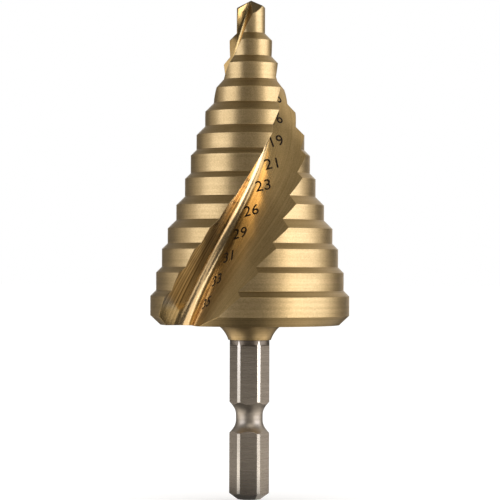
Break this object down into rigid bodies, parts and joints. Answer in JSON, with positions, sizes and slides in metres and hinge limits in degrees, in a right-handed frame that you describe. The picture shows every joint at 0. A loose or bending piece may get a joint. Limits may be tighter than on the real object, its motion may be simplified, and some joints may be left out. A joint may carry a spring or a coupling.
{
  "type": "step drill",
  "caption": "Stepped conical drill with two helical flutes, a flared collar and a quick-change hexagonal shank, for holes in sheet metal.",
  "frame": {"origin": "centre of the shank's end face, on the drill's axis", "axes": "+Z runs along the axis from the shank to the point; -Y looks at one flat of the hexagon"},
  "size_m": [0.035, 0.035, 0.0877],
  "materials": {
    "coated_steel": "satin"
  },
  "bodies": {
    "root": {"step_drill": "coated_steel"}
  },
  "joints": []
}
